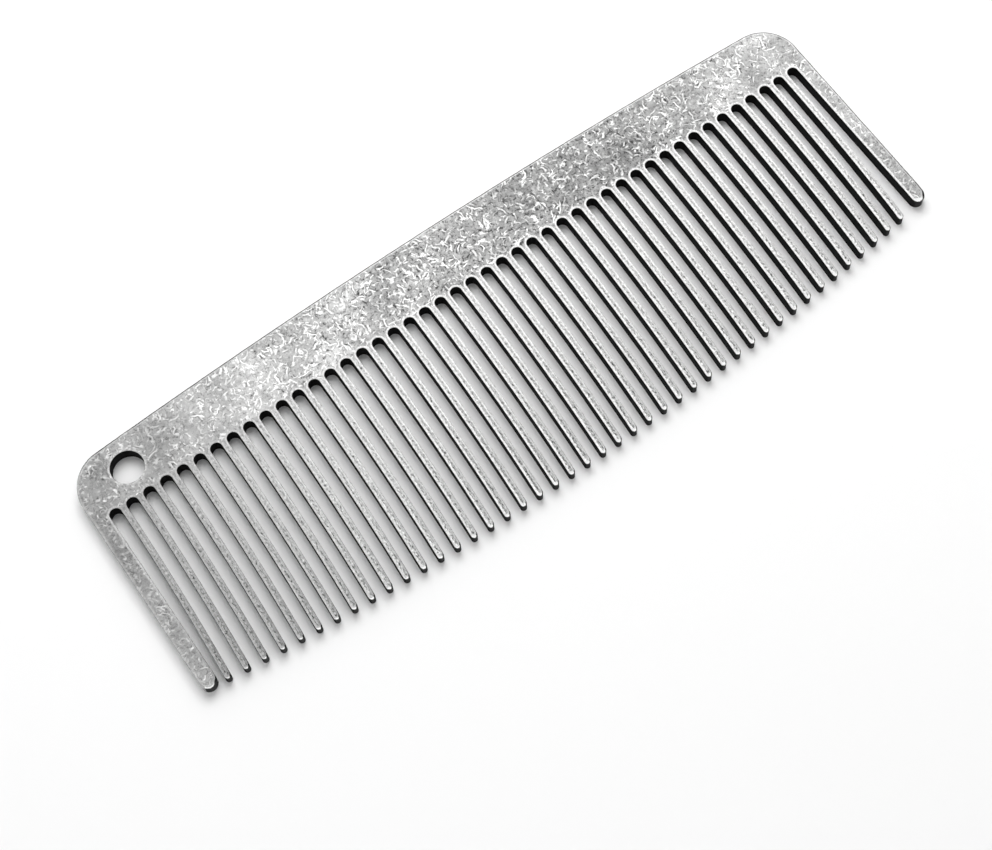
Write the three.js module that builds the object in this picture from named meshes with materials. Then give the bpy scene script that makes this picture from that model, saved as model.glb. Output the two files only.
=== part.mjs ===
// Beard comb cut from one sheet of stainless steel.
//
// Millimetres, +Z up. The comb lies flat: +X runs along the spine, +Y points
// from the tooth tips to the spine, and Z is the sheet thickness with the
// lower face on Z = 0. The origin is the middle of the bounding box in plan.
// Left is -X, the end with the hanging hole.

import * as THREE from 'three';

// ---- driving dimensions ---------------------------------------------------

const LENGTH = 101.6;          // overall, end to end (4 in)
const HALF = LENGTH / 2;
const THICKNESS = 2.0;         // sheet
const EDGE_BREAK = 0.14;       // deburred edge, both faces

const SPINE_DEPTH = 8.18;      // crown of the spine above the slot roots
const SPINE_SAG = 1.49;        // how far the arched spine drops at each end
const CORNER_R = 4.75;         // two upper corners

const TOOTH_DEPTH = 26.96;     // slot roots to the lowest point of the tip line
const TIP_SAG = 3.52;          // how far the bowed tip line rises at each end

const SLOTS = 45;              // 44 fine teeth and 2 end teeth
const PITCH = 2.192;
const SLOT_W = 1.42;
const FINE_TOOTH_W = PITCH - SLOT_W;

// The fine teeth lean towards the hole end, by an amount that grows with the
// square of the distance below the slot roots. The end teeth are straight.
const TOOTH_SET = 0.743;       // sideways set at SET_REF below the slot roots
const SET_REF = 23.49;

const HOLE_R = 1.95;           // hanging hole
const HOLE_FROM_END = 6.46;
const HOLE_ABOVE_ROOTS = 3.34;

// Each arc is drawn in 2 x ARC_STEPS chords, each bent edge in ARC_STEPS.
const ARC_STEPS = 3;

// ---- construction lines, with Y = 0 on the slot roots ---------------------

// Radius of the arc that spans the full length with the given sag.
const arcRadius = (sag) => (HALF * HALF + sag * sag) / (2 * sag);
const SPINE_R = arcRadius(SPINE_SAG);
const SPINE_CENTRE_Y = SPINE_DEPTH - SPINE_R;
const TIP_R = arcRadius(TIP_SAG);

const tipY = (x) => -TOOTH_DEPTH + TIP_R - Math.sqrt(TIP_R * TIP_R - x * x);

const toothSet = (y) => -TOOTH_SET * (y / SET_REF) ** 2;
const toothSlope = (y) => (-2 * TOOTH_SET * y) / (SET_REF * SET_REF);  // dx/dy of the set

const SLOT_R = SLOT_W / 2;     // round slot root
const slotX = (i) => (i - (SLOTS - 1) / 2) * PITCH;

// Inner edges of the left and right end teeth.
const LEFT_INNER_X = slotX(0) - SLOT_R;
const RIGHT_INNER_X = slotX(SLOTS - 1) + SLOT_R;

const END_TIP_R = (LEFT_INNER_X + HALF) / 2;
const END_TIP_Y = tipY(-HALF + END_TIP_R) + END_TIP_R;   // centre of the tip arc

// Centre of the right upper corner: a circle tangent to the end and to the
// spine arc, which it meets at CORNER_ANGLE seen from the spine's centre.
const CORNER_X = HALF - CORNER_R;
const CORNER_Y = SPINE_CENTRE_Y
  + Math.sqrt((SPINE_R - CORNER_R) ** 2 - CORNER_X * CORNER_X);
const CORNER_ANGLE = Math.atan2(CORNER_Y - SPINE_CENTRE_Y, CORNER_X);

// ---- the outline, anticlockwise from the left end -------------------------

// Half circle round a tooth tip, from its left edge to its right edge.
function roundTip(path, x, y, radius) {
  path.absarc(x, y, radius, Math.PI, 2 * Math.PI, false);
}

// The bent edge of a fine tooth is a parabola, so one quadratic curve draws
// it: the control point is where the two end tangents meet.
function bentEdge(path, rootX, startY, endY) {
  const controlY = (startY + endY) / 2;
  const controlX = rootX + toothSet(startY) + toothSlope(startY) * (controlY - startY);
  path.quadraticCurveTo(controlX, controlY, rootX + toothSet(endY), endY);
}

// Fine tooth between slot i and the next one.
function fineTooth(path, i) {
  const left = slotX(i) + SLOT_R;
  const right = slotX(i + 1) - SLOT_R;
  const middle = (left + right) / 2;
  const tipR = FINE_TOOTH_W / 2;
  const tipCentreY = tipY(middle + toothSet(-TOOTH_DEPTH)) + tipR;
  bentEdge(path, left, -SLOT_R, tipCentreY);
  roundTip(path, middle + toothSet(tipCentreY), tipCentreY, tipR);
  bentEdge(path, right, tipCentreY, -SLOT_R);
}

function hangingHole() {
  const path = new THREE.Path();
  const quarter = Math.PI / 2;
  // Four quarter arcs, so that it is drawn finely enough.
  for (let q = 0; q < 4; q++) {
    path.absarc(-HALF + HOLE_FROM_END, HOLE_ABOVE_ROOTS, HOLE_R,
      -q * quarter, -(q + 1) * quarter, true);
  }
  return path;
}

function combShape() {
  const shape = new THREE.Shape();

  // Left end tooth.
  shape.moveTo(-HALF, CORNER_Y);
  shape.lineTo(-HALF, END_TIP_Y);
  roundTip(shape, -HALF + END_TIP_R, END_TIP_Y, END_TIP_R);
  shape.lineTo(LEFT_INNER_X, -SLOT_R);

  // Slot roots, with a fine tooth after each but the last.
  for (let i = 0; i < SLOTS; i++) {
    shape.absarc(slotX(i), -SLOT_R, SLOT_R, Math.PI, 0, true);
    if (i < SLOTS - 1) fineTooth(shape, i);
  }

  // Right end tooth.
  shape.lineTo(RIGHT_INNER_X, END_TIP_Y);
  roundTip(shape, HALF - END_TIP_R, END_TIP_Y, END_TIP_R);
  shape.lineTo(HALF, CORNER_Y);

  // Right corner, spine and left corner.
  const leftAngle = Math.PI - CORNER_ANGLE;
  shape.absarc(CORNER_X, CORNER_Y, CORNER_R, 0, CORNER_ANGLE, false);
  shape.absarc(0, SPINE_CENTRE_Y, SPINE_R, CORNER_ANGLE, leftAngle, false);
  shape.absarc(-CORNER_X, CORNER_Y, CORNER_R, leftAngle, Math.PI, false);

  shape.holes.push(hangingHole());
  return shape;
}

// ---- the solid ------------------------------------------------------------

function stonewashedSteel() {
  return new THREE.MeshStandardMaterial({
    name: 'stonewashed_steel',
    color: 0xb4b4b4,
    metalness: 0.9,
    roughness: 0.42,
  });
}

function combBlade() {
  const geometry = new THREE.ExtrudeGeometry(combShape(), {
    depth: THICKNESS - 2 * EDGE_BREAK,
    curveSegments: ARC_STEPS,
    bevelEnabled: true,
    bevelSegments: 1,
    bevelThickness: EDGE_BREAK,
    bevelSize: EDGE_BREAK,
    bevelOffset: -EDGE_BREAK,   // cut the bevel inside the outline
  });
  geometry.translate(0, (TOOTH_DEPTH - SPINE_DEPTH) / 2, EDGE_BREAK);

  const blade = new THREE.Mesh(geometry, stonewashedSteel());
  blade.name = 'comb_blade';
  return blade;
}

const model = new THREE.Group();
model.name = 'beard_comb';
model.add(combBlade());

export default model;
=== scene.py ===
"""A flat steel comb, lying on its face.

X runs along the comb, with the hanging hole at the -X end and the far end at +X.
The spine is on the +Y side, the teeth point to -Y, and the two faces look up and down.
The comb is drawn in millimetres and built in metres.
"""
import math
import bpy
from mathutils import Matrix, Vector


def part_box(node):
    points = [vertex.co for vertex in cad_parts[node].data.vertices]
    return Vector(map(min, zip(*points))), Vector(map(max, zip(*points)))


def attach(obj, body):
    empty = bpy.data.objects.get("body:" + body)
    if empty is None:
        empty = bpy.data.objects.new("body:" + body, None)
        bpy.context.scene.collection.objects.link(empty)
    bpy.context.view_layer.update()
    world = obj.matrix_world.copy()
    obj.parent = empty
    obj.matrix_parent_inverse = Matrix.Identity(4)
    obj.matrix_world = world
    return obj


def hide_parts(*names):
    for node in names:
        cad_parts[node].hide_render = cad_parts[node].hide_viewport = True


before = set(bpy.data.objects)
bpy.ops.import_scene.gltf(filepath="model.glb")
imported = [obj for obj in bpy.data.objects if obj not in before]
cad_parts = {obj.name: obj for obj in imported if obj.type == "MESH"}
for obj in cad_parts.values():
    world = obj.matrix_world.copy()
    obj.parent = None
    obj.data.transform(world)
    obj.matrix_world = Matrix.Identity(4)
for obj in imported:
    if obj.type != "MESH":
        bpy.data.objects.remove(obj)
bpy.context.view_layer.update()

from types import SimpleNamespace

import bmesh
import bpy
import numpy as np
from mathutils import Matrix, Vector
from mathutils.geometry import delaunay_2d_cdt

scene = bpy.context.scene
MM = 0.001

# ---------------------------------------------------------------------------
# Dimensions, in millimetres. Overall sizes come from the CAD piece.
# ---------------------------------------------------------------------------
lo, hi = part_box("comb_blade")
HALF_LENGTH = (hi.x - lo.x) / MM / 2
THICKNESS = (hi.z - lo.z) / MM
MID_X = (hi.x + lo.x) / 2 / MM
BASE_Z = lo.z / MM
MID_Z = BASE_Z + THICKNESS / 2

SPINE_DEPTH = 8.18                    # from the slot roots to the top of the spine
SPINE_SAG = 1.49                      # how far the spine falls away at the ends
CORNER_R = 4.75
TOOTH_DEPTH = 26.96                   # from the slot roots to the tip of the middle teeth
TIP_SAG = 3.52                        # how much the line of the tips rises at the ends
SLOTS = 45
PITCH = 2.192
SLOT_W = 1.42
TOOTH_SET = 0.743                     # sideways bend of a fine tooth, SET_REF below its root
SET_REF = 23.49
HOLE_R = 1.95
HOLE_FROM_END = 6.46
HOLE_ABOVE_ROOTS = 3.34

EDGE_R = 0.085                        # tumbled rounding of every edge
OUTER_EDGE_R = 0.20                   # more along the spine and the far end, where it is handled
HOLE_END_R = 0.09                     # and little down the hole end
FAR_TIP_R = 0.38                      # the outer corner of the far end tooth's tip is worn round
TIP_IN, TIP_DROP = 0.13, 0.40         # extra wear at the tips: inwards, and down from the top
SWELL = 0.16                          # how much the rounding swells and thins, as a share
EDGE_SEGMENTS = 5
WALL_HEIGHTS = (0.3, 0.5, 0.7)        # rings up the wall, as shares of the thickness
RIM = 0.35                            # how far in from the outline the face is brightened, by tumbling wear and a painted highlight
RIM_MARGIN = 0.10                     # least flat face between the rounding and that ring

OUTLINE_STEP = 0.9
GRID_X, GRID_Y = 1.9, 1.75            # spacing of the support points inside the faces
GRID_MARGIN = 1.1                     # how far they keep from the edges
GRID_JITTER = 0.25

# Outline coordinates: X = 0 at mid-length, Y = 0 on the line through the slot roots.
ROOT_Y = hi.y / MM - SPINE_DEPTH
ROOT_R = SLOT_W / 2
FINE_HALF_W = (PITCH - SLOT_W) / 2    # half the width of a fine tooth


def arc_radius(sag):
    return (HALF_LENGTH * HALF_LENGTH + sag * sag) / (2 * sag)


SPINE_R = arc_radius(SPINE_SAG)
TIP_R = arc_radius(TIP_SAG)


def slot_x(i):
    return (i - (SLOTS - 1) / 2) * PITCH


def tip_y(x):
    return -TOOTH_DEPTH + TIP_R - math.sqrt(TIP_R * TIP_R - x * x)


def tooth_set(y):
    return -TOOTH_SET * (y / SET_REF) ** 2


def tooth_slope(y):
    """How fast the set changes with y."""
    return -2 * TOOTH_SET * y / (SET_REF * SET_REF)


FIRST_SLOT = slot_x(0) - ROOT_R       # inner sides of the two broad end teeth
LAST_SLOT = slot_x(SLOTS - 1) + ROOT_R
END_R = (FIRST_SLOT + HALF_LENGTH) / 2
END_TIP_Y = tip_y(-HALF_LENGTH + END_R) + END_R    # centre of an end tooth's round tip
SPINE_Y = SPINE_DEPTH - SPINE_R                    # centre of the spine's arc
CORNER_X = HALF_LENGTH - CORNER_R
CORNER_Y = SPINE_Y + math.sqrt((SPINE_R - CORNER_R) ** 2 - CORNER_X * CORNER_X)
CORNER_ANGLE = math.atan2(CORNER_Y - SPINE_Y, CORNER_X)
HOLE_X = -HALF_LENGTH + HOLE_FROM_END


# ---------------------------------------------------------------------------
# Outlines: lists of (x, y, normal x, normal y), the normal pointing out of the steel.
# Each piece stops short of its last point, which begins the next piece.
# ---------------------------------------------------------------------------
def straight(x0, y0, x1, y1):
    length = math.hypot(x1 - x0, y1 - y0)
    count = max(1, round(length / OUTLINE_STEP))
    nx, ny = (y1 - y0) / length, -(x1 - x0) / length
    return [(x0 + (x1 - x0) * k / count, y0 + (y1 - y0) * k / count, nx, ny)
            for k in range(count)]


def arc(centre_x, centre_y, radius, start, end, steps, inward=False):
    """An arc. Its normals point to the centre if inward, as in a slot or a hole."""
    sign = -1 if inward else 1
    points = []
    for k in range(steps):
        angle = start + (end - start) * k / steps
        cos, sin = math.cos(angle), math.sin(angle)
        points.append((centre_x + radius * cos, centre_y + radius * sin, sign * cos, sign * sin))
    return points


def bent_edge(root_x, y0, y1):
    """One side of a fine tooth, from y0 to y1."""
    count = max(2, round(abs(y1 - y0) / OUTLINE_STEP))
    heading = -1 if y1 < y0 else 1
    points = []
    for k in range(count):
        y = y0 + (y1 - y0) * k / count
        along_x = heading * tooth_slope(y)
        length = math.hypot(along_x, heading)
        points.append((root_x + tooth_set(y), y, heading / length, -along_x / length))
    return points


def fine_tooth(mid):
    """Down one side of a slender tooth, round its tip and up the other side."""
    tip_centre = tip_y(mid + tooth_set(-TOOTH_DEPTH)) + FINE_HALF_W
    lean = math.atan(tooth_slope(tip_centre))
    radius = FINE_HALF_W * math.cos(lean)
    rise = radius * math.sin(lean)
    points = bent_edge(mid - FINE_HALF_W, -ROOT_R, tip_centre + rise)
    points += arc(mid + tooth_set(tip_centre), tip_centre, radius,
                  math.pi - lean, 2 * math.pi - lean, steps=14)
    points += bent_edge(mid + FINE_HALF_W, tip_centre - rise, -ROOT_R)
    return points


def comb_outline():
    """Counter-clockwise: the hole end, the teeth, the far end, the spine."""
    half_turn = math.pi
    points = straight(-HALF_LENGTH, CORNER_Y, -HALF_LENGTH, END_TIP_Y)
    points += arc(-HALF_LENGTH + END_R, END_TIP_Y, END_R, half_turn, 2 * half_turn, steps=22)
    points += straight(FIRST_SLOT, END_TIP_Y, FIRST_SLOT, -ROOT_R)
    for i in range(SLOTS):
        points += arc(slot_x(i), -ROOT_R, ROOT_R, half_turn, 0, steps=16, inward=True)
        if i < SLOTS - 1:
            points += fine_tooth(slot_x(i) + PITCH / 2)
    points += straight(LAST_SLOT, -ROOT_R, LAST_SLOT, END_TIP_Y)
    points += arc(HALF_LENGTH - END_R, END_TIP_Y, END_R, half_turn, 2 * half_turn, steps=22)
    points += straight(HALF_LENGTH, END_TIP_Y, HALF_LENGTH, CORNER_Y)
    points += arc(CORNER_X, CORNER_Y, CORNER_R, 0, CORNER_ANGLE, steps=18)
    points += arc(0, SPINE_Y, SPINE_R, CORNER_ANGLE, half_turn - CORNER_ANGLE, steps=110)
    points += arc(-CORNER_X, CORNER_Y, CORNER_R, half_turn - CORNER_ANGLE, half_turn, steps=18)
    return np.array(points)


def hole_outline():
    return np.array(arc(HOLE_X, HOLE_ABOVE_ROOTS, HOLE_R, 2 * math.pi, 0, steps=72, inward=True))


# ---------------------------------------------------------------------------
# The rounded edge
# ---------------------------------------------------------------------------
def wander(points, seed, scale):
    """Smooth seeded variation, -1 to 1, so that the tumbled edge is not ruled."""
    rng = np.random.default_rng(seed)
    waves = [(rng.uniform(-1, 1), rng.uniform(-1, 1), rng.uniform(0, 2 * math.pi))
             for _ in range(9)]
    total = 0
    for k, (along_x, along_y, phase) in enumerate(waves):
        place = along_x * points[:, 0] + along_y * points[:, 1]
        total = total + np.sin(place * (2.2 + 0.9 * k) / scale + phase)
    return np.clip(total / 4.2, -1, 1)


def outer_share(points):
    """1 along the spine and the two ends, 0 along the slots and the fine teeth."""
    x, y, nx, _ = points.T
    outer = ((y > 0.5) | (np.abs(x) > HALF_LENGTH - 0.2)).astype(float)
    # The far end's finish carries on round its tooth's tip, fading out by the bottom.
    far_tip = (x > LAST_SLOT) & (y < END_TIP_Y)
    return np.where(far_tip, np.clip((nx - 0.05) / 0.55, 0, 1), outer)


def tip_wear(points):
    """0 away from the tips of the teeth, rising to 1 at their very ends."""
    x, y, _, ny = points.T
    ends = np.array([tip_y(min(max(value, -HALF_LENGTH), HALF_LENGTH)) for value in x])
    near = np.clip(1 - (y - ends - 0.4) / 1.3, 0, 1)
    return np.where(y < -SLOT_W, near * (0.40 + 0.60 * np.clip(-ny, 0, 1)), 0.0)


def rounding_radius(points, outer):
    _, y, nx, _ = points.T
    radius = np.where(outer > 0.5, OUTER_EDGE_R, EDGE_R)
    radius = np.where((outer > 0.5) & (nx < -0.4), HOLE_END_R, radius)
    radius = np.where((outer > 0.5) & (y < END_TIP_Y) & (nx > 0.25), FAR_TIP_R, radius)
    # Ease from one radius to the next.
    for _ in range(6):
        radius = (np.roll(radius, 1) + radius + np.roll(radius, -1)) / 3
    return radius


def edge_rings(points, seed, outer, tip):
    """(distance in from the outline, height, normal tilt, rim) per ring, bottom to top."""
    radius = rounding_radius(points, outer)
    top = radius * (1 + SWELL * wander(points, seed, scale=1.1))
    bottom = radius * (1 + SWELL * wander(points, seed + 50, scale=1.3)) + TIP_IN * tip
    top_in, top_drop = top + TIP_IN * tip, top + TIP_DROP * tip
    face_in = np.maximum(RIM, radius * (1 + SWELL) + RIM_MARGIN)
    zero = np.zeros(len(points))
    angles = [math.pi / 2 * k / EDGE_SEGMENTS for k in range(EDGE_SEGMENTS + 1)]

    rings = [(face_in, zero, -1.0, 0.0)]
    for angle in reversed(angles):
        cos, sin = math.cos(angle), math.sin(angle)
        rings.append((bottom * (1 - cos), bottom * (1 - sin), -sin, 1.0))
    for share in WALL_HEIGHTS:
        rings.append((zero, zero + share * THICKNESS, 0.0, 1.0))
    for angle in angles:
        cos, sin = math.cos(angle), math.sin(angle)
        rings.append((top_in * (1 - cos), THICKNESS - top_drop * (1 - sin), sin, 1.0))
    rings.append((face_in, zero + THICKNESS, 1.0, 0.0))
    return rings


# ---------------------------------------------------------------------------
# The comb's mesh. A vertex is (position, normal, values of ATTRIBUTES).
#   rim: 1 on the edge, 0 on the face       wall: 0 lying flat, 1 upright
#   outer: 1 along the spine and the ends   side: X of the outline's normal
#   tip: wear at the tips of the teeth
# ---------------------------------------------------------------------------
ATTRIBUTES = ("rim", "wall", "outer", "side", "tip")


def add_edge(vertices, faces, points, seed, outer):
    """Rings of vertices along an outline. Returns its bottom and top rings."""
    tip = tip_wear(points)
    count = len(points)
    starts = []
    for inset, height, tilt, rim in edge_rings(points, seed, outer, tip):
        starts.append(len(vertices))
        flat = math.sqrt(max(0.0, 1 - tilt * tilt))
        wall = math.degrees(math.acos(min(1.0, abs(tilt)))) / 90
        for k, (x, y, nx, ny) in enumerate(points):
            place = (MID_X + x - nx * inset[k], ROOT_Y + y - ny * inset[k], BASE_Z + height[k])
            values = (rim, wall, outer[k], nx, tip[k])
            vertices.append((place, (nx * flat, ny * flat, tilt), values))
    for low, high in zip(starts, starts[1:]):
        for k in range(count):
            after = (k + 1) % count
            faces.append((low + k, low + after, high + after, high + k))
    return [list(range(start, start + count)) for start in (starts[0], starts[-1])]


def support_points():
    """Jittered grid inside the spine, for even triangles on the faces."""
    rng = np.random.default_rng(5)
    points = []
    for x in np.arange(-HALF_LENGTH + 1.6, HALF_LENGTH - 1.5, GRID_X):
        for y in np.arange(1.5, SPINE_DEPTH - 1.0, GRID_Y):
            corner = math.hypot(abs(x) - CORNER_X, y - CORNER_Y)
            if y > SPINE_Y + math.sqrt(SPINE_R**2 - x * x) - GRID_MARGIN:
                continue
            if abs(x) > CORNER_X and y > CORNER_Y and corner > CORNER_R - GRID_MARGIN:
                continue
            if math.hypot(x - HOLE_X, y - HOLE_ABOVE_ROOTS) < HOLE_R + GRID_MARGIN:
                continue
            points.append((x + rng.uniform(-GRID_JITTER, GRID_JITTER),
                           y + rng.uniform(-GRID_JITTER, GRID_JITTER)))
    return points


def add_face(vertices, faces, loops, inner, top):
    """Triangulates the top or bottom face between the outline's and the hole's rings."""
    flat, ids, edges = [], [], []
    for loop in loops:
        start = len(flat)
        flat += [Vector(vertices[v][0][:2]) for v in loop]
        ids += loop
        edges += [(start + k, start + (k + 1) % len(loop)) for k in range(len(loop))]
    z = BASE_Z + (THICKNESS if top else 0)
    for x, y in inner:
        flat.append(Vector((MID_X + x, ROOT_Y + y)))
        ids.append(len(vertices))
        normal = (0, 0, 1.0 if top else -1.0)
        vertices.append(((MID_X + x, ROOT_Y + y, z), normal, (0.0,) * len(ATTRIBUTES)))
    _, _, triangles, sources, _, _ = delaunay_2d_cdt(flat, edges, [], 1, 1e-7)
    hole_loop = set(loops[1])
    for triangle in triangles:
        corners = [ids[sources[v][0]] for v in triangle]
        # The triangulation also fills the hole: leave that part open.
        if all(v in hole_loop for v in corners):
            continue
        first, second, third = (Vector(vertices[v][0][:2]) for v in corners)
        counter_clockwise = (second - first).cross(third - first) > 0
        if counter_clockwise != top:
            corners.reverse()
        faces.append(tuple(corners))


def comb_mesh():
    vertices, faces = [], []
    outline, hole = comb_outline(), hole_outline()
    outer_rings = add_edge(vertices, faces, outline, seed=11, outer=outer_share(outline))
    hole_rings = add_edge(vertices, faces, hole, seed=12, outer=np.zeros(len(hole)))
    inner = support_points()
    for ring, top in ((1, True), (0, False)):
        add_face(vertices, faces, (outer_rings[ring], hole_rings[ring]), inner, top)

    places, normals, values = zip(*vertices)
    mesh = bpy.data.meshes.new("comb_steel")
    mesh.from_pydata([(x * MM, y * MM, z * MM) for x, y, z in places], [], faces)
    mesh.validate()
    for name, column in zip(ATTRIBUTES, zip(*values)):
        mesh.attributes.new(name, "FLOAT", "POINT").data.foreach_set("value", column)
    mesh.shade_smooth()
    mesh.normals_split_custom_set_from_vertices([Vector(n).normalized() for n in normals])
    return mesh


# ---------------------------------------------------------------------------
# Node trees, written as arithmetic
# ---------------------------------------------------------------------------
def operator(kind, swapped=False):
    def method(self, other):
        pair = (other, self) if swapped else (self, other)
        return self.nodes.math(kind, *pair)
    return method


class Wire:
    """An output of a node. Working with it adds further nodes."""

    __add__, __radd__ = operator("ADD"), operator("ADD", swapped=True)
    __sub__, __rsub__ = operator("SUBTRACT"), operator("SUBTRACT", swapped=True)
    __mul__, __rmul__ = operator("MULTIPLY"), operator("MULTIPLY", swapped=True)
    __truediv__ = operator("DIVIDE")
    __pow__ = operator("POWER")
    at_least, at_most = operator("MAXIMUM"), operator("MINIMUM")
    above, below = operator("GREATER_THAN"), operator("LESS_THAN")

    def __init__(self, nodes, socket):
        self.nodes = nodes
        self.socket = socket

    def __abs__(self):
        return self.nodes.math("ABSOLUTE", self)

    def centred(self):
        """A noise, shifted to vary about 0."""
        return self - 0.5

    def ramp(self, span, to=(0.0, 1.0)):
        """Eases from to[0] to to[1] as the value goes from span[0] to span[1]."""
        inputs = {"Value": self, "From Min": span[0], "From Max": span[1],
                  "To Min": to[0], "To Max": to[1]}
        return self.nodes.wire("ShaderNodeMapRange", "Result", inputs,
                               interpolation_type="SMOOTHSTEP")

    def vector(self, kind, other=(0, 0, 0), scale=None):
        inputs = {0: self, 1: other}
        if scale is not None:
            inputs["Scale"] = scale
        output = "Value" if kind in ("DOT_PRODUCT", "DISTANCE") else "Vector"
        return self.nodes.wire("ShaderNodeVectorMath", output, inputs, operation=kind)

    def move(self, x, y):
        """Shifts a pattern, so that it doesn't line up with the others."""
        return self.vector("ADD", (x, y, 0))

    def stretch(self, x, y, z=1.0):
        """How fine a pattern is along each axis."""
        return self.vector("MULTIPLY", (x, y, z))

    def split(self):
        node = self.nodes.add("ShaderNodeSeparateXYZ", {0: self})
        return [Wire(self.nodes, socket) for socket in node.outputs]

    def noise(self, scale=1.0, detail=2.0, rough=0.5, output="Fac", dims="2D"):
        inputs = {"Vector": self, "Scale": scale, "Detail": detail, "Roughness": rough}
        return self.nodes.wire("ShaderNodeTexNoise", output, inputs, noise_dimensions=dims)

    def cells(self, scale):
        """Random cells: their distances, their places and three random tones for each."""
        node = self.nodes.add("ShaderNodeTexVoronoi", {"Vector": self, "Scale": scale},
                              voronoi_dimensions="2D", feature="F1")
        distance, place, colour = (Wire(self.nodes, node.outputs[name])
                                   for name in ("Distance", "Position", "Color"))
        return distance, place, colour.split()


class Nodes:
    """The node tree of a material or a world."""

    def __init__(self, owner):
        owner.use_nodes = True
        self.tree = owner.node_tree
        self.tree.nodes.clear()

    def add(self, kind, inputs=None, **settings):
        node = self.tree.nodes.new(kind)
        for name, value in settings.items():
            setattr(node, name, value)
        for key, value in (inputs or {}).items():
            if isinstance(value, Wire):
                self.tree.links.new(value.socket, node.inputs[key])
            else:
                node.inputs[key].default_value = value
        return node

    def wire(self, kind, output, inputs=None, **settings):
        return Wire(self, self.add(kind, inputs, **settings).outputs[output])

    def math(self, kind, first, second=0.0, clamp=False):
        return self.wire("ShaderNodeMath", 0, {0: first, 1: second},
                         operation=kind, use_clamp=clamp)

    def mix(self, share, low, high):
        return self.wire("ShaderNodeMix", 0, {0: share, 2: low, 3: high}, data_type="FLOAT")

    def combine(self, x, y, z):
        return self.wire("ShaderNodeCombineXYZ", 0, {0: x, 1: y, 2: z})

    def attribute(self, name):
        return self.wire("ShaderNodeAttribute", "Fac", attribute_name=name)

    def principled(self, inputs):
        shader = self.wire("ShaderNodeBsdfPrincipled", 0, inputs)
        self.add("ShaderNodeOutputMaterial", {0: shader})


def total(*terms):
    """Sum of (weight, value) pairs."""
    weight, value = terms[0]
    result = value * weight
    for weight, value in terms[1:]:
        result = result + value * weight
    return result


# ---------------------------------------------------------------------------
# Stonewashed steel. Lengths are in millimetres, x along the comb.
# ---------------------------------------------------------------------------
BODY = 0.60              # reflectance of the stonewashed faces
TOOTH_ROOT = 0.55        # and of the slender teeth, at the root
TOOTH_TIP = 0.35         # and at the tip
POLISHED_AND_HIGHLIT = 0.80          # edges worn bright, together with a painted highlight
WALL = 0.0045            # near-black cut walls: partly their dark finish, partly painted shade
DARKEST_WALL = 0.0012
FACE_RANGE = 0.06, 0.97  # limits on the bare steel
UPPER_SHIFT = 311.0, 173.0    # moves the upper face's pattern away from the lower one's
PLAIN_SPOT = MID_X + HALF_LENGTH - 0.96, ROOT_Y + 4.12    # a patch by the far corner
LIGHT_DRIFT_MEAN, LIGHT_DRIFT_SWING, LIGHT_DRIFT_LENGTH = 0.97, 0.19, 78.0     # painted light: slow drift of brightness along the comb

# Where a stroke's middle and its soft flank fade out, in stroke widths.
CORE, FLANK = (0.2, 0.62), (0.5, 1.5)


def steel_places(nodes):
    """Where on the comb we are: coordinates, painted values and zones."""
    object_place = nodes.wire("ShaderNodeTexCoord", "Object")
    place = object_place.vector("SCALE", scale=1 / MM)
    x, y, z = place.split()
    # The two faces are told apart, so that they don't carry the same scratches.
    upper = z.above(MID_Z)

    def on_face(x, y):
        return nodes.combine(x + upper * UPPER_SHIFT[0], y + upper * UPPER_SHIFT[1], 0.0)

    plane = on_face(x, y)
    hole = on_face_fixed = nodes.combine(
        nodes.math("ADD", MID_X + HOLE_X, upper * UPPER_SHIFT[0]),
        nodes.math("ADD", ROOT_Y + HOLE_ABOVE_ROOTS, upper * UPPER_SHIFT[1]), 0.0)
    # A slow drift of the coordinates bends every stroke a little.
    drift = plane.noise(scale=1.1, detail=1.0, output="Color")
    bent = plane.vector("ADD", drift.vector("SUBTRACT", (0.5, 0.5, 0.5))
                        .vector("SCALE", scale=0.55))
    # 0 at the slot roots, 1 at the depth of the longest teeth.
    down = nodes.math("MULTIPLY", ROOT_Y - y, 1.0 / TOOTH_DEPTH, clamp=True)
    slender = down.ramp(span=(0.0, 0.04)) * abs(x).below(-FIRST_SLOT - 0.3)
    painted = {name: nodes.attribute(name) for name in ATTRIBUTES}
    painted["tip"] = painted["tip"] * (1.0 - painted["outer"])
    return SimpleNamespace(x=x, y=y, z=z, place=place, plane=plane, bent=bent, down=down,
                           slender=slender, from_hole=plane.vector("DISTANCE", hole), **painted)


def strokes(at, cell, length, width, share, seed, bow=0.35):
    """One short curved scratch in a share of the cells of a random pattern.

    Returns a function that draws them with a given profile, CORE or FLANK.
    """
    where = at.bent.move(seed * 37.1, seed * 91.7)
    _, middle, (turn, curve, size) = where.cells(scale=1.0 / cell)
    turned = where.nodes.wire(
        "ShaderNodeVectorRotate", 0,
        {"Vector": where.vector("SUBTRACT", middle), "Angle": turn * (2 * math.pi)},
        rotation_type="Z_AXIS")
    along, across, _ = turned.split()
    bend = (curve * 2.0 - 1.0) * (bow * 2 / length)
    off = abs(across - bend * (along * along))
    reach = (size * 0.6 + 0.4) * (length / 2)
    taper = (abs(along) / reach).ramp(span=(0.45, 1.0), to=(1.0, 0.0))
    # Multiplying up a tone and dropping its whole part gives a fresh random number.
    chosen = where.nodes.math("FRACT", (curve + size) * 7.31).below(share)
    strength = chosen * (where.nodes.math("FRACT", turn * 13.7) * 0.6 + 0.4)
    shown = taper * strength

    def draw(profile):
        return off.ramp(span=[width * edge for edge in profile], to=(1.0, 0.0)) * shown

    return draw


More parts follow.
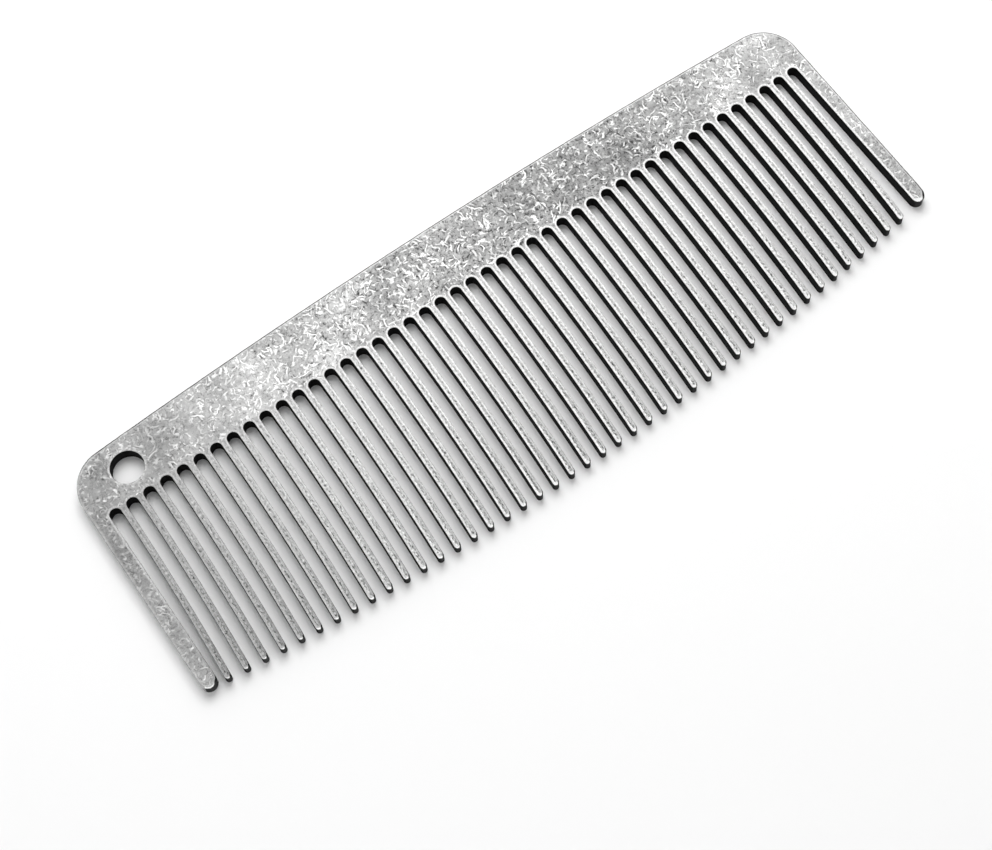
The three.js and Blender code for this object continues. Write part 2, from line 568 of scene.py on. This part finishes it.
def worms(at, scale, half_width, seed, cover):
    """Short wandering marks: the level line of a noise, broken up by another noise."""
    field = at.bent.move(seed * 17.3, seed * 29.9).noise(scale, detail=1.0)
    line = abs(field.centred()).ramp(span=(half_width * 0.35, half_width), to=(1.0, 0.0))
    gate = at.plane.move(seed * 5.9, seed * 3.1).noise(scale * 0.9, detail=1.0)
    return line * gate.ramp(span=(cover, cover + 0.10))


def bright_dents(at):
    """Small bright dents, most of them towards the hole end."""
    distance, _, (tone, _, _) = at.bent.move(47.0, 11.0).cells(scale=1.35)
    dents = distance.ramp(span=(0.06, 0.24), to=(1.0, 0.0))
    dents = dents * tone.ramp(span=(0.35, 0.75))
    dents = dents * at.x.ramp(span=(-46.0, -14.0), to=(1.5, 0.5))
    return dents * at.x.ramp(span=(36.0, 44.0), to=(1.0, 0.1))


def tumbling_marks(at):
    """The scratches and noises that the finish is made of."""
    plane, bent = at.plane, at.bent
    middling = strokes(at, cell=1.30, length=1.35, width=0.24, share=0.62, seed=1)
    small = strokes(at, cell=0.85, length=0.80, width=0.20, share=0.55, seed=2)
    long = strokes(at, cell=2.1, length=2.3, width=0.22, share=0.50, seed=3, bow=0.6)
    bright_worms = worms(at, scale=1.05, half_width=0.050, seed=1, cover=0.52)
    dark_worms = worms(at, scale=1.5, half_width=0.07, seed=3, cover=0.54)

    bright = total((1.0, middling(CORE)), (0.8, small(CORE)), (1.1, long(CORE)),
                   (0.7, bright_worms)).at_most(1.15)
    # Marks would pile up into a blob on the plain spot, so it is left clear.
    off_x = at.x - PLAIN_SPOT[0]
    off_y = at.y - PLAIN_SPOT[1]
    away = at.x.nodes.math("SQRT", off_x * off_x + off_y * off_y)
    bright = bright * away.ramp(span=(0.40, 0.75))
    dark = total((0.9, dark_worms), (0.8, middling(FLANK)), (0.7, long(FLANK))).at_most(1.2)

    return SimpleNamespace(
        bright=bright,
        dark=dark,
        patch=plane.noise(scale=0.16, rough=0.55),
        blotch=bent.noise(scale=1.15),
        mottle=bent.move(9.0, 4.0).noise(scale=2.4, rough=0.55),
        grain=plane.noise(scale=5.8, rough=0.62),
        # Along the slender teeth the marks run with the tooth.
        streak=plane.stretch(4.6, 0.75).noise(rough=0.6),
        speck=plane.stretch(6.5, 2.6).noise(detail=1.0),
        bead=plane.move(19.0, 5.0).stretch(4.6, 3.4).noise(rough=0.65),
    )


def wear_and_highlight_rim(at, ragged):
    """Where the steel is brightened on and beside the edges, less on outer ones: tumbling wear
    and a painted highlight.
    """
    reach = at.rim + at.outer * 0.12
    rim = (reach + ragged * (0.35 + at.down * 0.9)).ramp(span=(0.10, 0.70))
    return rim * (1.0 - at.outer * at.side.ramp(span=(-0.3, -0.9), to=(0.38, 0.72)))


def coat_and_shade_share(at, ragged):
    """Where the dark coat lies: it starts at some slope of the rounding and goes on down. It is
    partly the dark finish of the cut walls and partly painted shade for the dark surroundings
    that the walls and rounded edges mirror.
    """
    # It starts low down the rounding of the slots, a little sooner on the edges that face
    # away from the hole end, which paints shade on them, and high up along the spine and the
    # ends.
    early = at.side.at_least(0.0) * (0.30 - at.outer * 0.30)
    start = 0.64 - at.outer * 0.60 - early
    # On the very tips it starts late where they face -Y, and sooner round on their +X side,
    # which paints shade there.
    start = start + at.tip * (0.07 - at.side.ramp(span=(0.1, 0.8)) * 0.50)
    slope = at.wall + ragged * (0.35 - at.outer * 0.20)
    softness = 0.28 - at.outer * 0.14 - at.tip * 0.10
    slope = slope.at_least(at.wall.ramp(span=(0.93, 1.0), to=(0.0, 1.1)))
    coat_and_shade = (slope - start).ramp(span=(0.0, softness))
    # On the outer edges the coat is a thin line: the upright walls are bare again.
    upright = at.wall.ramp(span=(0.84, 0.98), to=(0.03, 0.94))
    thin = at.outer * upright.at_least(at.side.ramp(span=(-0.4, -0.9), to=(0.0, 0.92)))
    return coat_and_shade * (1.0 - thin)


def broad_face(at, marks):
    """Reflectance of the spine and the end teeth."""
    # Scratches crowd into patches, and the middle of the comb has seen more of them.
    small_patch = at.plane.move(57.0, 13.0).noise(scale=0.42, rough=0.55)
    crowd = total((0.5, marks.patch), (0.5, small_patch))
    contrast = (crowd.ramp(span=(0.40, 0.60), to=(0.60, 1.05))
                * abs(at.x - 10.0).ramp(span=(10.0, 50.0), to=(1.06, 0.50)))
    # Small dark pits between the scratches.
    pits = at.bent.move(31.0, 77.0).noise(scale=3.3, detail=1.0).ramp(span=(0.60, 0.72))
    texture = total((0.8, marks.blotch.centred()), (1.0, marks.mottle.centred()),
                    (0.85, marks.grain.centred()), (1.9, marks.bright), (-0.55, marks.dark),
                    (-0.5, pits), (0.75, bright_dents(at)))
    # Painted light: the brightness drifts slowly along the comb, standing in for how the light
    # falls along it.
    wave = at.x.nodes.math("COSINE", (at.x + 24.0) * (2 * math.pi / LIGHT_DRIFT_LENGTH))
    light_drift = LIGHT_DRIFT_MEAN + wave * LIGHT_DRIFT_SWING
    # The ends and the dip near x = 27 are part of the same painted light.
    far_end = at.x.ramp(span=(35.0, 47.0), to=(1.0, 1.04))
    hole_end = at.x.ramp(span=(-48.0, -24.0), to=(0.82, 1.02))
    dip = abs(at.x - 27.0).ramp(span=(0.0, 11.0), to=(0.85, 1.0))
    light_drift = light_drift * (dip * (far_end * hole_end))
    detail = total((1.0, texture * contrast), (0.7, marks.patch.centred()))
    face = light_drift * BODY * (detail + 0.70)
    # The far end tooth is a little duller than the spine above it.
    duller = at.down.ramp(span=(0.0, 0.25)) * at.x.ramp(span=(40.0, 48.0), to=(0.0, 0.17))
    return face * (1.0 - duller)


def tooth_face(at, marks):
    """Reflectance of the slender teeth: brighter near the roots, streakier near the tips."""
    # Painted light: the teeth's brightness changes along the comb, standing in for how the light
    # falls along it.
    tip = (abs(at.x + 25.0).ramp(span=(0.0, 15.0), to=(1.65, 1.0))
           * at.x.ramp(span=(-10.0, 34.0), to=(TOOTH_TIP * 0.90, TOOTH_TIP * 1.36)))
    tip = tip * at.x.ramp(span=(-50.0, -30.0), to=(1.30, 1.0))
    lit = at.down.ramp(span=(0.10, 0.95), to=(TOOTH_ROOT, tip))
    lit = lit * at.x.ramp(span=(-50.0, -14.0), to=(1.45, 1.0))
    texture = total((0.8, marks.streak.centred()), (1.9, marks.speck.centred()),
                    (1.7, marks.bead.centred())) * (0.50 + at.down * 0.85)
    # Sparse dark flecks where the tumbling missed.
    fleck = at.plane.move(3.0, 71.0).stretch(4.2, 1.9).noise(rough=0.6).ramp(span=(0.56, 0.70))
    texture = texture - fleck * (0.42 + at.down * 0.18)
    return lit * (1.0 + texture)


def worn_and_highlit_edge(at, marks):
    """Reflectance of the bright edges: polish and a painted highlight."""
    worn_and_highlit = POLISHED_AND_HIGHLIT * (1.0 + total((0.40, marks.streak.centred()), (0.9, marks.bead.centred()),
                                   (0.5, marks.speck.centred())))
    # Painted shade: duller low down on the +X sides of the teeth. Brighter on the rounding of
    # the tips: wear and a painted highlight.
    painted_side_shade = at.side.at_least(0.0) * (at.down.ramp(span=(0.3, 0.9)) * 0.38)
    worn_and_highlit = worn_and_highlit * (1.0 - painted_side_shade)
    return worn_and_highlit * (1.0 + at.tip * at.wall.ramp(span=(0.10, 0.60), to=(0.0, 1.1)))


def bare_steel(nodes, at, marks, rim, coat_and_shade):
    """Reflectance wherever the dark coat, which is partly painted shade, is off."""
    base = nodes.mix(at.slender, broad_face(at, marks), tooth_face(at, marks))
    # Painted shade: the teeth, and less the rims, are made darker towards the hole end.
    shade_and_wear = at.x.ramp(span=(-58.0, -6.0), to=(0.40, 1.0))
    shade_and_wear = shade_and_wear.at_least(1.0 - (at.slender + rim * 0.40))
    # The hole's rim is worn bright by what it hangs from.
    ring = at.from_hole.ramp(span=(HOLE_R + 0.10, HOLE_R + 0.42), to=(1.0, 0.0)) * (1.0 - coat_and_shade)
    shade_and_wear = shade_and_wear + ring * (0.03 + marks.mottle.centred() * 1.1)
    face = nodes.mix(rim, base, worn_and_highlit_edge(at, marks)) * shade_and_wear
    return face.at_least(FACE_RANGE[0]).at_most(FACE_RANGE[1])


def dark_wall_and_lit_ends(nodes, at):
    """Reflectance of the dark walls, partly painted shade: palest half-way up, and paler on the
    ends of the teeth, which is painted light.
    """
    band = abs(at.z - MID_Z).ramp(span=(THICKNESS * 0.10, THICKNESS * 0.42), to=(1.0, 0.0))
    facing_y = nodes.wire("ShaderNodeNewGeometry", "True Normal").split()[1]
    # Painted light: the ends of the teeth face the open floor and are made paler, more so
    # towards the hole end.
    ends = facing_y.ramp(span=(-0.45, -0.95)) * at.down.ramp(span=(0.5, 0.7))
    ends = ends * at.x.ramp(span=(-50.0, -20.0), to=(1.7, 1.0))
    upright = at.place.stretch(5.0, 5.0, 0.9).noise(rough=0.6, dims="3D")
    wall = WALL * total((1.0, 0.55 + band * 1.5), (5.0, ends), (1.6, upright.centred()))
    return wall.at_least(DARKEST_WALL)


def steel():
    material = bpy.data.materials.new("stonewashed_steel")
    nodes = Nodes(material)
    at = steel_places(nodes)
    marks = tumbling_marks(at)
    ragged = total((0.8, marks.grain.centred()), (0.7, marks.mottle.centred()))
    rim = wear_and_highlight_rim(at, ragged)
    coat_and_shade = coat_and_shade_share(at, ragged)
    bare = bare_steel(nodes, at, marks, rim, coat_and_shade)
    # The dark coat on the walls and the lower rounding is partly their finish and partly painted
    # shade.
    value = nodes.mix(coat_and_shade, bare, dark_wall_and_lit_ends(nodes, at))

    rough = 0.30 + total((0.20, marks.mottle.centred()), (0.16, marks.bright),
                         (0.10, rim.at_least(at.slender)))
    relief = total((0.5, marks.mottle), (0.25, marks.grain), (-0.6, marks.bright))
    bump = nodes.wire("ShaderNodeBump", 0,
                      {"Height": relief, "Strength": 0.35, "Distance": 0.00003})
    nodes.principled({
        "Base Color": nodes.combine(value, value, value * 0.995),
        "Metallic": nodes.mix(coat_and_shade, 1.0, 0.0),
        "Roughness": nodes.mix(coat_and_shade, rough, 0.75),
        "Specular IOR Level": 0.07,
        "Normal": bump,
    })
    return material


def build_comb():
    mesh = comb_mesh()
    comb = bpy.data.objects.new("comb_steel", mesh)
    scene.collection.objects.link(comb)
    mesh.materials.append(steel())
    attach(comb, "root")
    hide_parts("comb_blade")


# ---------------------------------------------------------------------------
# Floor, lights and camera, in metres
# ---------------------------------------------------------------------------
FLOOR_SIZE = 1.6
FLOOR_GAP = 0.00002      # between the comb and the floor


def build_floor():
    grid = bmesh.new()
    bmesh.ops.create_grid(grid, x_segments=4, y_segments=4, size=FLOOR_SIZE)
    mesh = bpy.data.meshes.new("floor")
    grid.to_mesh(mesh)
    grid.free()
    floor = bpy.data.objects.new("floor", mesh)
    floor.location = (0, 0, lo.z - FLOOR_GAP)
    scene.collection.objects.link(floor)
    pale = bpy.data.materials.new("pale_floor")
    Nodes(pale).principled({
        "Base Color": (0.88, 0.88, 0.88, 1),
        "Roughness": 0.9,
        "Specular IOR Level": 0.1,
    })
    mesh.materials.append(pale)


SKY_BRIGHTEST = (0.191, 0.331, 0.924)    # overhead, leaning to +Y and a little to +X
SKY_BASE, SKY_GLOW, SKY_FOCUS = 0.30, 1.00, 3.0


def build_world():
    """Soft light from all round, dimmer towards the horizon."""
    world = bpy.data.worlds.new("studio")
    scene.world = world
    nodes = Nodes(world)
    ray = nodes.wire("ShaderNodeTexCoord", "Generated")
    above = ray.vector("DOT_PRODUCT", SKY_BRIGHTEST).at_least(0.0)
    strength = SKY_BASE + above ** SKY_FOCUS * SKY_GLOW
    sky = nodes.wire("ShaderNodeBackground", 0, {"Color": (1, 1, 1, 1), "Strength": strength})
    nodes.add("ShaderNodeOutputWorld", {0: sky})


# name, place, side of the square, radiance
SOFTBOXES = (
    ("key", (0.055, 0.15, 0.34), 0.24, 4.3),
    ("fill_near", (0.048, 0.263, 0.60), 0.14, 1.8),
    ("fill_far", (0.300, 0.270, 0.60), 0.20, 2.2),
)
SHEEN = 0.56             # how strongly the boxes show in the steel
CARDS = 6
CARD_DISTANCE, CARD_HEIGHT = 0.8, 0.36
CARD_FIRST_ANGLE = 30    # degrees


def softbox(name, place, wide, high, radiance, on_floor, in_steel):
    """An area light facing the middle of the comb. radiance is what a mirror would show."""
    data = bpy.data.lights.new(name, "AREA")
    data.shape = "RECTANGLE"
    data.size = wide
    data.size_y = high
    data.energy = radiance * math.pi * wide * high
    light = bpy.data.objects.new(name, data)
    light.location = place
    light.rotation_euler = (-Vector(place)).to_track_quat("-Z", "Y").to_euler()
    light.visible_camera = False
    light.visible_diffuse = on_floor
    light.visible_glossy = in_steel
    scene.collection.objects.link(light)


def build_lights():
    # Each box lights the floor at full strength, and shows more gently in the steel.
    for name, place, size, radiance in SOFTBOXES:
        softbox(name, place, size, size, radiance, on_floor=True, in_steel=False)
        softbox(name + "_sheen", place, size, size, radiance * SHEEN,
                on_floor=False, in_steel=True)
    # Pale cards stand all round, so that the steel looks like steel from every side.
    for k in range(CARDS):
        angle = math.radians(CARD_FIRST_ANGLE + 360 / CARDS * k)
        place = (CARD_DISTANCE * math.cos(angle), CARD_DISTANCE * math.sin(angle), CARD_HEIGHT)
        softbox("card_%d" % k, place, wide=0.92, high=0.70, radiance=0.85,
                on_floor=False, in_steel=True)


CAMERA_PLACE = (-0.0533596988, -0.0875397935, 0.2395810033)
CAMERA_TURN = (
    (0.8043291254, 0.5276754218, -0.2731543652),
    (-0.5940682802, 0.7232327804, -0.3521607928),
    (0.0117275961, 0.4455255263, 0.8951924200),
)


def build_camera():
    data = bpy.data.cameras.new("camera")
    data.sensor_fit = "HORIZONTAL"
    data.sensor_width = 36.0
    data.lens = 80.735312903
    data.shift_x = -0.1215332661
    data.shift_y = -0.2135877016
    data.clip_start = 0.01
    data.clip_end = 20
    camera = bpy.data.objects.new("camera", data)
    camera.matrix_world = Matrix.Translation(CAMERA_PLACE) @ Matrix(CAMERA_TURN).to_4x4()
    scene.collection.objects.link(camera)
    scene.camera = camera


build_comb()
build_floor()
build_world()
build_lights()
build_camera()
scene.view_settings.view_transform = "Standard"
scene.view_settings.look = "None"
